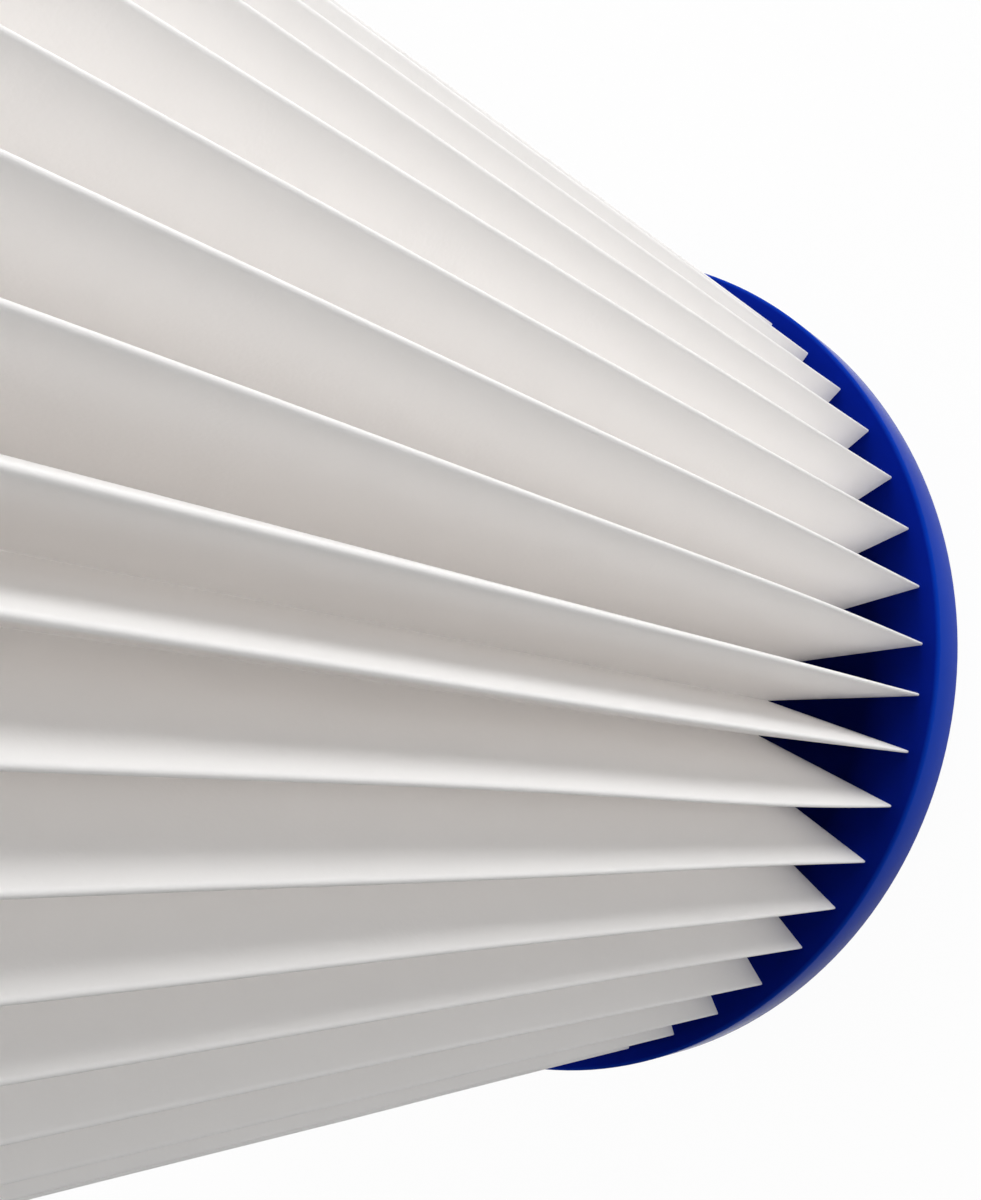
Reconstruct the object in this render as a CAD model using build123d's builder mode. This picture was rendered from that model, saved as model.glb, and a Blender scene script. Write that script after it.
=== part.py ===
# Pool filter cartridge: a pleated filter sheet potted between two moulded end caps, round a slotted core.
# Millimetres, +Z up along the cartridge's axis, origin at the centre of the lower cap's outer face.

import os
from math import asin, atan2, cos, pi, sin

from build123d import *

# Whole cartridge
cartridge_length = 203.0
pleat_count = 50

# End caps
cap_radius = 54.0
cap_thickness = 8.0
outer_edge_break = 1.2
inner_edge_break = 0.4
bore_radius = 25.4
bore_chamfer = 1.0
potting_depth = 5.0

# Filter sheet
sheet_thickness = 0.3
rim_width = 1.9
facets_per_half_fold = 2

# Core tube
core_radius = 30.0
core_wall = 1.8
fold_gap = 0.5
window_columns = 10
window_rows = 6
window_width = 6.0
window_ring = 5.0
end_ring = 4.0

# Heights that the pieces share
lower_face = cap_thickness
upper_face = cartridge_length - cap_thickness
seat_height = cap_thickness - potting_depth
seated_length = cartridge_length - 2 * seat_height
middle = Plane.XY.offset(cartridge_length / 2)

# The sheet's creases: one sheet inside the outermost line of its folds, one outside the innermost
crest_crease = cap_radius - rim_width - sheet_thickness
valley_crease = core_radius + fold_gap + sheet_thickness
half_pitch = pi / pleat_count


def polar(radius, angle):
    return Vector(radius * cos(angle), radius * sin(angle))


def half_fold(crease, start, end):
    """Points round the outside of half a fold, one sheet from its crease."""
    step = (end - start) / facets_per_half_fold
    return [crease + polar(sheet_thickness, start + step * i) for i in range(facets_per_half_fold + 1)]


# Section of the sheet: half a pleat from its crest on the X axis to the middle of the next valley,
# mirrored to a whole pleat and repeated round the axis. Each flank is a flat strip of even thickness
# between a crest crease on its core side and a valley crease on its open side.
crest = Vector(crest_crease, 0)
valley = polar(valley_crease, half_pitch)
span = valley - crest
flank_angle = atan2(span.Y, span.X) + asin(sheet_thickness / span.length)
open_side = flank_angle - pi / 2

with BuildSketch() as pleat:
    with BuildLine():
        Polyline(
            *half_fold(crest, 0, open_side),
            valley,
            *half_fold(valley, half_pitch - pi, open_side - pi),
            crest,
            close=True,
        )
    make_face()
    mirror(about=Plane.XZ)

with BuildSketch() as sheet_section:
    with PolarLocations(0, pleat_count):
        add(pleat.sketch)

with BuildSketch() as core_section:
    Circle(core_radius)
    Circle(core_radius - core_wall, mode=Mode.SUBTRACT)

# Lower end cap: a moulded ring whose inner face holds the ends of the sheet and of the core
with BuildPart() as end_cap_bottom:
    with BuildSketch():
        Circle(cap_radius)
        Circle(bore_radius, mode=Mode.SUBTRACT)
    extrude(amount=cap_thickness)
    rims = end_cap_bottom.edges().filter_by(GeomType.CIRCLE)
    outer_rims = rims.group_by(SortBy.RADIUS)[-1].sort_by(Axis.Z)
    bore_rims = rims.group_by(SortBy.RADIUS)[0].sort_by(Axis.Z)
    chamfer(outer_rims[0], outer_edge_break)
    chamfer(outer_rims[-1], inner_edge_break)
    chamfer(bore_rims[0], bore_chamfer)
    with BuildSketch(Plane.XY.offset(seat_height)):
        add(sheet_section.sketch)
        add(core_section.sketch)
    extrude(amount=potting_depth, mode=Mode.SUBTRACT)

# Upper end cap, the same moulding turned over
with BuildPart() as end_cap_top:
    add(end_cap_bottom.part)
    mirror(about=middle, mode=Mode.REPLACE)

# Filter sheet, one endless strip folded into pleats
with BuildPart() as pleat_pack:
    with BuildSketch(Plane.XY.offset(seat_height)):
        add(sheet_section.sketch)
    extrude(amount=seated_length)

# Core tube with rows of windows that let the water through
window_zone = upper_face - lower_face - 2 * end_ring
window_spacing = (window_zone + window_ring) / window_rows
window_height = window_spacing - window_ring
lowest_window = lower_face + end_ring + window_height / 2
window_heights = [lowest_window + window_spacing * row for row in range(window_rows)]

with BuildPart() as core_tube:
    with BuildSketch(Plane.XY.offset(seat_height)):
        add(core_section.sketch)
    extrude(amount=seated_length)
    with Locations(*[(0, 0, height) for height in window_heights]):
        with PolarLocations(core_radius, window_columns):
            Box(core_radius, window_width, window_height, mode=Mode.SUBTRACT)

parts = {
    "end_cap_bottom": end_cap_bottom,
    "end_cap_top": end_cap_top,
    "pleat_pack": pleat_pack,
    "core_tube": core_tube,
}
os.makedirs("parts", exist_ok=True)
for name, builder in parts.items():
    builder.part.label = name
    export_step(builder.part, f"parts/{name}.step")
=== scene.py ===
# Looks of the pool filter cartridge: filter cloth, end caps, core tube, floor, lamps and camera.
# Metres, in the row's frame: origin at the centre of the lower cap's outer face, +Z along the cartridge.
from math import cos, pi, radians, sin, tau

import bpy
import numpy as np
from mathutils import Matrix, Vector


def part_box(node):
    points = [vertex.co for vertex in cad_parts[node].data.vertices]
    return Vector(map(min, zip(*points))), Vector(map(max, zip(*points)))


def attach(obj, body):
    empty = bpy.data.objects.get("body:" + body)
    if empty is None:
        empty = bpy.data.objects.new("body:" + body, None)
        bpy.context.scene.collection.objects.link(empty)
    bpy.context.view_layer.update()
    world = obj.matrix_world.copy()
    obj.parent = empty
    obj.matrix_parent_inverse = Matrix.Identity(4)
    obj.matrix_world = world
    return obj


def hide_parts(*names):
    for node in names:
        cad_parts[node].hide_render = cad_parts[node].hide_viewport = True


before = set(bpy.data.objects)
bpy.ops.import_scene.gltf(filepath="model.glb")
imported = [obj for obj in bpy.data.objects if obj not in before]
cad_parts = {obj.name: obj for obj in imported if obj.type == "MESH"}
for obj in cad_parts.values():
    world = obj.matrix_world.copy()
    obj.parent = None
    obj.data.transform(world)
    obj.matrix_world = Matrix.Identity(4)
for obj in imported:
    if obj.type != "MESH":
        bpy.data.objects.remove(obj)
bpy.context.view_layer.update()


MM = 0.001

# Sizes of the solids, read from the frame
low_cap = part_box("end_cap_bottom")
high_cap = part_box("end_cap_top")
CAP_RADIUS = (low_cap[1].x - low_cap[0].x) / 2
CAP_THICKNESS = low_cap[1].z - low_cap[0].z
LENGTH = high_cap[1].z
LOWER_FACE = low_cap[1].z
UPPER_FACE = high_cap[0].z
CREST_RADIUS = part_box("pleat_pack")[1].x

# Sizes of the solids that the frame doesn't give
PLEATS = 50
CLOTH = 0.3 * MM
SEAT_DEPTH = 5.0 * MM
BORE_RADIUS = 25.4 * MM
BORE_CHAMFER = 1.0 * MM

# Rounds of the caps' edges, where the solids have chamfers or plain corners
OUTER_ROUND = 1.2 * MM
INNER_ROUND = 0.5 * MM

# Fineness of the meshes
FREE_LEVELS = 40
FOLD_STEPS = 3
ARC_STEPS = 6
TURN_STEPS = 192


# Meshes

def mesh_object(name, vertices, faces, smooth=True):
    mesh = bpy.data.meshes.new(name)
    mesh.from_pydata([tuple(v) for v in vertices], [], faces)
    mesh.update()
    mesh.polygons.foreach_set("use_smooth", [smooth] * len(mesh.polygons))
    thing = bpy.data.objects.new(name, mesh)
    bpy.context.scene.collection.objects.link(thing)
    return thing


def grid_faces(rows, columns, start=0):
    """Quads between the points of rows of closed rings, which run round one after the other."""
    faces = []
    for row in range(rows - 1):
        for column in range(columns):
            after = (column + 1) % columns
            low = start + row * columns
            high = low + columns
            faces.append((low + column, low + after, high + after, high + column))
    return faces


# Filter cloth: pleats like the solid sheet's, with the lay, the bulge and the wander of real cloth

# The photograph's inner folds end here, further out than the solid's
INNER_FOLD_RADIUS = 34.0 * MM
# Where a flank gets points, as shares of its width from the crest to the valley
FLANK_SHARES = (0.07, 0.2, 0.4, 0.68)
# Inside radius of the folds, and how much wider the crests open beyond this reach from the caps
TIGHT_FOLD = 0.02 * MM
CREST_OPENING = 0.15 * MM
OPENING_REACH = 25 * MM
# The cloth is pressed thin at a crest, and is full again at this share of the flank
PRESSED = 0.14 * MM
PRESSED_SHARE = 0.2
# The flanks bulge a quarter of the way down, ahead more than behind, beyond this reach from the caps
BULGE_AHEAD = 0.25 * MM
BULGE_BEHIND = 0.08 * MM
BULGE_REACH = 8 * MM
# Brings the curve of the bulge to about 1 where it is highest
BULGE_SCALE = 9.5
# Sizes of the wander: crests and valleys to the side in radians, crests inwards, flanks bowed
CREST_WANDER = 0.0045
VALLEY_WANDER = 0.003
CREST_DIP = 0.10 * MM
FLANK_BOW = 0.22 * MM
# All the pleats are laid over one way: the valleys lie this angle, in radians, short of midway
LAY = 0.013
# Some crests are out of step. By pleat number, in radians: where the caps hold them, and halfway up
OUT_OF_STEP = {
    0: (0.007, 0), 1: (-0.008, 0), 2: (-0.007, 0),
    44: (0.006, 0.0095), 45: (0.009, 0.0105), 46: (0.002, 0.0105), 48: (0.009, 0), 49: (0.007, 0.0085),
}


def way_up(heights):
    """A column of shares: 0 up to the lower cap's inner face, 1 from the upper cap's."""
    return np.clip((heights - LOWER_FACE) / (UPPER_FACE - LOWER_FACE), 0, 1)[:, None]


def drift(heights, size, seed, waves=3):
    """A small smooth wander along each pleat, nothing at the caps, the same in every run."""
    along = way_up(heights)
    chance = np.random.default_rng(seed)
    total = 0
    for wave in range(1, waves + 1):
        share = chance.normal(0, 1, PLEATS)[None, :] / wave
        total = total + share * np.sin(pi * wave * along)
    return size * total


def out_of_step(heights):
    middle = np.sin(pi * way_up(heights))
    held, halfway = np.array([OUT_OF_STEP.get(pleat, (0, 0)) for pleat in range(PLEATS)]).T
    return held * (1 - middle) + halfway * middle


def looseness(heights, reach):
    """How far the cloth has sprung open: 0 where a cap holds it, near 1 beyond the reach from both caps."""
    away = np.minimum(heights - LOWER_FACE, UPPER_FACE - heights)
    return 1 - np.exp(-np.clip(away, 0, None) / reach)[:, None]


def unit(angle):
    return np.stack([np.cos(angle), np.sin(angle)], -1)


def near(angle, other):
    """The same direction as angle, written within half a turn of the other angle."""
    return other + (angle - other + pi) % tau - pi


def flank(crest, valley, crest_bend, valley_bend, side, bow, bulge):
    """Points of one flank. side is 1 for the flank towards the next valley, -1 for the one before."""
    span = valley - crest
    length = np.linalg.norm(span, axis=-1)
    lean = np.arctan2(span[..., 1], span[..., 0]) + side * np.arcsin((crest_bend + valley_bend) / length)
    open_side = lean - side * pi / 2
    normal = unit(open_side)
    high = crest + normal * crest_bend[..., None]
    low = valley - normal * valley_bend[..., None]
    open_line = []
    core_line = []
    for share in FLANK_SHARES:
        push = bow * sin(pi * share) + bulge * BULGE_SCALE * share * (1 - share) ** 3
        point = high + (low - high) * share + normal * push[..., None]
        thickness = PRESSED + (CLOTH - PRESSED) * min(share / PRESSED_SHARE, 1)
        open_line.append(point)
        core_line.append(point - normal * thickness)
    return open_side, open_line, core_line


def half_fold(crease, bend, start, end):
    """Points round half a fold, from the start direction to the end direction."""
    steps = [start + (end - start) * step / FOLD_STEPS for step in range(FOLD_STEPS + 1)]
    return [crease + bend[..., None] * unit(angle) for angle in steps]


def cloth_rings(heights):
    """Two loops of points for each height: the cloth's open face and its core face."""
    pleat = np.arange(PLEATS)
    pitch = tau / PLEATS
    crest_angle = pleat * pitch + drift(heights, CREST_WANDER, seed=11, waves=4) + out_of_step(heights)
    valley_angle = (pleat + 0.5) * pitch - LAY + drift(heights, VALLEY_WANDER, seed=12)
    loose = np.repeat(looseness(heights, OPENING_REACH), PLEATS, axis=1)
    crest_bend = PRESSED + TIGHT_FOLD + CREST_OPENING * loose
    valley_bend = np.full_like(loose, TIGHT_FOLD)
    crest_reach = CREST_RADIUS - crest_bend - np.abs(drift(heights, CREST_DIP, seed=13))
    valley_reach = INNER_FOLD_RADIUS + CLOTH + valley_bend
    crest = unit(crest_angle) * crest_reach[..., None]
    valley = unit(valley_angle) * valley_reach[..., None]
    before = np.roll(valley, 1, axis=1)
    before_angle = np.roll(valley_angle, 1, axis=1) - tau * (pleat == 0)[None, :]

    sprung = looseness(heights, BULGE_REACH)
    up_bow = drift(heights, FLANK_BOW, seed=14)
    down_bow = drift(heights, FLANK_BOW, seed=15)
    bends = crest_bend, valley_bend
    up_open, *up_lines = flank(crest, valley, *bends, 1, up_bow, BULGE_AHEAD * sprung)
    down_open, *down_lines = flank(crest, before, *bends, -1, down_bow, BULGE_BEHIND * sprung)
    up_open = near(up_open, crest_angle)
    down_open = near(down_open, crest_angle)

    loops = []
    for up_line, down_line, pressed, inset in zip(up_lines, down_lines, (0, PRESSED), (0, CLOTH)):
        crest_round = crest_bend - pressed
        valley_round = valley_bend + inset
        loop = half_fold(before, valley_round, before_angle + pi, down_open + pi)
        loop += down_line[::-1]
        loop += half_fold(crest, crest_round, down_open, crest_angle)
        loop += half_fold(crest, crest_round, crest_angle, up_open)[1:]
        loop += up_line
        loop += half_fold(valley, valley_round, up_open - pi, valley_angle - pi)[:-1]
        loops.append(np.stack(loop, 2))
    return loops


def filter_cloth():
    """The cloth as a closed mesh: its open face, its core face and the two ends that the caps hold."""
    free = np.linspace(LOWER_FACE, UPPER_FACE, FREE_LEVELS)
    heights = np.concatenate([[LOWER_FACE - SEAT_DEPTH], free, [UPPER_FACE + SEAT_DEPTH]])
    open_loop, core_loop = cloth_rings(heights)
    rows = len(heights)
    per_ring = open_loop.shape[1] * open_loop.shape[2]
    levels = np.repeat(heights, per_ring)
    sheets = []
    for loop in (open_loop, core_loop):
        flat = loop.reshape(rows * per_ring, 2)
        sheets.append(np.column_stack([flat, levels]))
    vertices = np.concatenate(sheets)
    second = rows * per_ring
    faces = grid_faces(rows, per_ring)
    faces += [face[::-1] for face in grid_faces(rows, per_ring, second)]
    last = (rows - 1) * per_ring
    for column in range(per_ring):
        after = (column + 1) % per_ring
        faces.append((second + column, second + after, after, column))
        faces.append((last + column, last + after, second + last + after, second + last + column))
    return mesh_object("filter_cloth", vertices, faces)


# End caps: a section turned round the axis

def arc(centre, radius, start, end):
    points = []
    for step in range(ARC_STEPS + 1):
        angle = start + (end - start) * step / ARC_STEPS
        points.append((centre[0] + radius * cos(angle), centre[1] + radius * sin(angle)))
    return points


def cap_section():
    """Radius and height round the section of the lower cap, from its bore's mouth outwards."""
    bottom = 0.0
    top = CAP_THICKNESS
    points = [(BORE_RADIUS, BORE_CHAMFER), (BORE_RADIUS + BORE_CHAMFER, bottom)]
    points += arc((CAP_RADIUS - OUTER_ROUND, bottom + OUTER_ROUND), OUTER_ROUND, -pi / 2, 0)
    points += arc((CAP_RADIUS - INNER_ROUND, top - INNER_ROUND), INNER_ROUND, 0, pi / 2)
    points += arc((BORE_RADIUS + INNER_ROUND, top - INNER_ROUND), INNER_ROUND, pi / 2, pi)
    return points


def turned(name, section):
    """A ring from pairs of radius and height that go round its section."""
    vertices = []
    for radius, height in section:
        for step in range(TURN_STEPS):
            turn = tau * step / TURN_STEPS
            vertices.append((radius * cos(turn), radius * sin(turn), height))
    faces = grid_faces(len(section), TURN_STEPS)
    last = (len(section) - 1) * TURN_STEPS
    for step in range(TURN_STEPS):
        after = (step + 1) % TURN_STEPS
        faces.append((last + step, last + after, after, step))
    return mesh_object(name, vertices, faces)


# Materials

# Values of a noise between which a colour runs from its first tone to its second
NOISE_LOW = 0.3
NOISE_HIGH = 0.7

# Two tones of each colour
CLOTH_WHITES = (0.980, 0.965, 0.953), (0.990, 0.975, 0.963)
CORE_WHITES = (0.74, 0.74, 0.72), (0.80, 0.80, 0.78)
# The caps' sides and outer faces: the plastic's blue, made lighter partly as a painted reflection
SIDE_BLUES = (0.0025, 0.040, 0.41), (0.0035, 0.047, 0.46)
# The caps' inner faces: a darker copy of that blue, a painted shade
SHADED_FACE_BLUES = (0.0018, 0.013, 0.28), (0.0026, 0.016, 0.31)
# Between the pleats on the inner faces: darker still, a painted shade
PAINTED_SHADE_BLUES = (0.0008, 0.003, 0.055), (0.0012, 0.004, 0.070)
CAP_ROUGHNESS = (0.14,) * 3, (0.20,) * 3
# The painted shade fills the caps' inner faces up to this radius and fades into the face's tone out to the
# rim, and the side's tone takes over this soon past them
PAINTED_SHADE_RADIUS = 46 * MM
FACE_BLEND = 1 * MM


def new_material(name):
    material = bpy.data.materials.new(name)
    material.use_nodes = True
    nodes, links = material.node_tree.nodes, material.node_tree.links
    return material, nodes, links, nodes["Principled BSDF"]


def ramp_between(nodes, links, source, low, high):
    ramp = nodes.new("ShaderNodeValToRGB")
    ramp.color_ramp.elements[0].position = NOISE_LOW
    ramp.color_ramp.elements[1].position = NOISE_HIGH
    ramp.color_ramp.elements[0].color = (*low, 1)
    ramp.color_ramp.elements[1].color = (*high, 1)
    links.new(source, ramp.inputs["Fac"])
    return ramp.outputs["Color"]


def noise(nodes, links, place, scale, detail=3):
    texture = nodes.new("ShaderNodeTexNoise")
    texture.inputs["Scale"].default_value = scale
    texture.inputs["Detail"].default_value = detail
    links.new(place, texture.inputs["Vector"])
    return texture.outputs["Fac"]


def bump(nodes, links, shader, height, distance, strength):
    node = nodes.new("ShaderNodeBump")
    node.inputs["Distance"].default_value = distance
    node.inputs["Strength"].default_value = strength
    links.new(height, node.inputs["Height"])
    links.new(node.outputs["Normal"], shader.inputs["Normal"])


def reach_share(nodes, links, place, centre, kept, start, end):
    """0 up to the start distance from the centre, 1 from the end. Axes marked with 0 in kept don't count."""
    from_centre = nodes.new("ShaderNodeVectorMath")
    from_centre.operation = "SUBTRACT"
    from_centre.inputs[1].default_value = centre
    links.new(place, from_centre.inputs[0])
    flat = nodes.new("ShaderNodeVectorMath")
    flat.operation = "MULTIPLY"
    flat.inputs[1].default_value = kept
    links.new(from_centre.outputs["Vector"], flat.inputs[0])
    reach = nodes.new("ShaderNodeVectorMath")
    reach.operation = "LENGTH"
    links.new(flat.outputs["Vector"], reach.inputs[0])
    share = nodes.new("ShaderNodeMapRange")
    share.inputs["From Min"].default_value = start
    share.inputs["From Max"].default_value = end
    links.new(reach.outputs["Value"], share.inputs["Value"])
    return share.outputs["Result"]


def blend(nodes, links, share, first, second):
    mix = nodes.new("ShaderNodeMix")
    mix.data_type = "RGBA"
    links.new(share, mix.inputs["Factor"])
    for socket, colour in (("A", first), ("B", second)):
        links.new(colour, next(s for s in mix.inputs if s.name == socket and s.type == "RGBA"))
    return next(s for s in mix.outputs if s.type == "RGBA")


def cloth_material():
    """Off-white nonwoven polyester: matt, faintly mottled, with fine lying fibres."""
    material, nodes, links, shader = new_material("filter_cloth")
    place = nodes.new("ShaderNodeTexCoord").outputs["Object"]
    mottle = noise(nodes, links, place, scale=180)
    links.new(ramp_between(nodes, links, mottle, *CLOTH_WHITES), shader.inputs["Base Color"])
    shader.inputs["Roughness"].default_value = 0.85
    shader.inputs["Specular IOR Level"].default_value = 0.1
    fibres = noise(nodes, links, place, scale=2600, detail=4)
    bump(nodes, links, shader, fibres, distance=0.05 * MM, strength=0.35)
    return material


def cap_material():
    """Royal-blue moulded polyurethane: satin, very slightly uneven, with painted shade on the inner faces
    that is darkest between the pleats, and lighter sides and outer faces whose blue stands partly for a
    painted reflection.
    """
    material, nodes, links, shader = new_material("cap_plastic")
    place = nodes.new("ShaderNodeTexCoord").outputs["Object"]
    tone = noise(nodes, links, place, scale=60)
    side = ramp_between(nodes, links, tone, *SIDE_BLUES)
    face = ramp_between(nodes, links, tone, *SHADED_FACE_BLUES)
    pleat_shade = ramp_between(nodes, links, tone, *PAINTED_SHADE_BLUES)
    middle = (0, 0, LENGTH / 2)
    across = (1, 1, 0)
    along = (0, 0, 1)
    face_height = UPPER_FACE - LENGTH / 2
    # Painted shade on the inner faces, darkest between the pleats; the sides and outer faces get the lighter
    # blue
    outward = reach_share(nodes, links, place, middle, across, PAINTED_SHADE_RADIUS, CAP_RADIUS)
    at_side = reach_share(nodes, links, place, middle, across, CAP_RADIUS - INNER_ROUND, CAP_RADIUS)
    past_face = reach_share(nodes, links, place, middle, along, face_height, face_height + FACE_BLEND)
    colour = blend(nodes, links, outward, pleat_shade, face)
    colour = blend(nodes, links, at_side, colour, side)
    links.new(blend(nodes, links, past_face, colour, side), shader.inputs["Base Color"])
    gloss = noise(nodes, links, place, scale=240, detail=2)
    links.new(ramp_between(nodes, links, gloss, *CAP_ROUGHNESS), shader.inputs["Roughness"])
    shader.inputs["Specular IOR Level"].default_value = 0.0045
    grain = noise(nodes, links, place, scale=900, detail=2)
    bump(nodes, links, shader, grain, distance=0.03 * MM, strength=0.3)
    return material


def core_material():
    """White moulded core, matt."""
    material, nodes, links, shader = new_material("core_plastic")
    place = nodes.new("ShaderNodeTexCoord").outputs["Object"]
    tone = noise(nodes, links, place, scale=90)
    links.new(ramp_between(nodes, links, tone, *CORE_WHITES), shader.inputs["Base Color"])
    shader.inputs["Roughness"].default_value = 0.5
    grain = noise(nodes, links, place, scale=700, detail=2)
    bump(nodes, links, shader, grain, distance=0.04 * MM, strength=0.3)
    return material


def paint(thing, material):
    thing.data.materials.clear()
    thing.data.materials.append(material)


# Floor, lamps and camera

MIDDLE_OF_VIEW = Vector((40, 0, 60)) * MM
LAMP_DISTANCE = 0.9
LAMP_SIZE = 0.5
WHITE = (1, 1, 1, 1)
FLOOR_GREY = (0.85, 0.85, 0.85, 1)
FLOOR_REACH = 2
# How much of the floor's look is plain white; the rest is its lit grey, which shows the shadow
FLOOR_GLOW = 0.97
WORLD_LIGHT = 0.082


def seen(nodes, links, share=1.0):
    """The share for rays that show a surface to the eye, straight or in a reflection, 0 for the others."""
    path = nodes.new("ShaderNodeLightPath")
    ray = path.outputs["Is Camera Ray"]
    for kind in ("Is Glossy Ray", "Is Transmission Ray"):
        either = nodes.new("ShaderNodeMath")
        either.operation = "MAXIMUM"
        links.new(ray, either.inputs[0])
        links.new(path.outputs[kind], either.inputs[1])
        ray = either.outputs[0]
    scaled = nodes.new("ShaderNodeMath")
    scaled.operation = "MULTIPLY"
    scaled.inputs[1].default_value = share
    links.new(ray, scaled.inputs[0])
    return scaled.outputs[0]


def studio():
    reach = FLOOR_REACH
    edge = [(-reach, -reach, 0), (reach, -reach, 0), (reach, reach, 0), (-reach, reach, 0)]
    floor = mesh_object("floor", edge, [(0, 1, 2, 3)], smooth=False)
    material, nodes, links, shader = new_material("floor")
    shader.inputs["Base Color"].default_value = FLOOR_GREY
    shader.inputs["Roughness"].default_value = 0.9
    glow = nodes.new("ShaderNodeEmission")
    glow.inputs["Color"].default_value = WHITE
    mix = nodes.new("ShaderNodeMixShader")
    links.new(seen(nodes, links, FLOOR_GLOW), mix.inputs["Fac"])
    links.new(shader.outputs["BSDF"], mix.inputs[1])
    links.new(glow.outputs["Emission"], mix.inputs[2])
    links.new(mix.outputs["Shader"], nodes["Material Output"].inputs["Surface"])
    paint(floor, material)

    world = bpy.data.worlds.new("studio")
    bpy.context.scene.world = world
    world.use_nodes = True
    nodes, links = world.node_tree.nodes, world.node_tree.links
    light = nodes["Background"]
    light.inputs["Color"].default_value = WHITE
    light.inputs["Strength"].default_value = WORLD_LIGHT
    backdrop = nodes.new("ShaderNodeBackground")
    backdrop.inputs["Color"].default_value = WHITE
    backdrop.inputs["Strength"].default_value = 1.0
    mix = nodes.new("ShaderNodeMixShader")
    links.new(seen(nodes, links), mix.inputs["Fac"])
    links.new(light.outputs["Background"], mix.inputs[1])
    links.new(backdrop.outputs["Background"], mix.inputs[2])
    links.new(mix.outputs["Shader"], nodes["World Output"].inputs["Surface"])


def lamp(name, turn, rise, power):
    """A round soft lamp. turn is its angle round the axis from +X and rise above the floor, in degrees."""
    turn = radians(turn)
    rise = radians(rise)
    outward = Vector((cos(rise) * cos(turn), cos(rise) * sin(turn), sin(rise)))
    data = bpy.data.lights.new(name, "AREA")
    data.shape = "DISK"
    data.size = LAMP_SIZE
    data.energy = power
    light = bpy.data.objects.new(name, data)
    light.location = MIDDLE_OF_VIEW + LAMP_DISTANCE * outward
    light.rotation_euler = (-outward).to_track_quat("-Z", "Y").to_euler()
    bpy.context.scene.collection.objects.link(light)


def photo_camera():
    """The photograph's view: beside the upper end, steeply down along the pleats, the frame's top to +Y."""
    place = Vector((102.76, -6.31, 163.21)) * MM
    forward = Vector((-0.58103, 0.06449, -0.81132)).normalized()
    top = Vector((-0.08345, 0.98688, 0.13821))
    right = forward.cross(top).normalized()
    top = right.cross(forward)
    data = bpy.data.cameras.new("camera")
    data.lens = 41.61
    data.sensor_width = 36
    data.clip_start = 5 * MM
    camera = bpy.data.objects.new("camera", data)
    turn = Matrix((right, top, -forward)).transposed()
    camera.matrix_world = Matrix.Translation(place) @ turn.to_4x4()
    bpy.context.scene.collection.objects.link(camera)
    bpy.context.scene.camera = camera


photo_camera()
studio()
lamp("key", turn=60, rise=5, power=4.12)
lamp("front", turn=0, rise=4, power=2.27)
lamp("top", turn=98, rise=45, power=4.02)
lamp("back", turn=200, rise=20, power=3.6)
# Light bounces many times in the deep pale folds
bpy.context.scene.cycles.diffuse_bounces = 10

cap_blue = cap_material()
cloth = filter_cloth()
paint(cloth, cloth_material())
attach(cloth, "root")
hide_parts("pleat_pack")

low = turned("low_cap", cap_section())
high = turned("high_cap", [(radius, LENGTH - height) for radius, height in reversed(cap_section())])
for cap, node in ((low, "end_cap_bottom"), (high, "end_cap_top")):
    paint(cap, cap_blue)
    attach(cap, "root")
    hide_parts(node)

paint(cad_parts["core_tube"], core_material())

bpy.context.scene.view_settings.view_transform = "Standard"
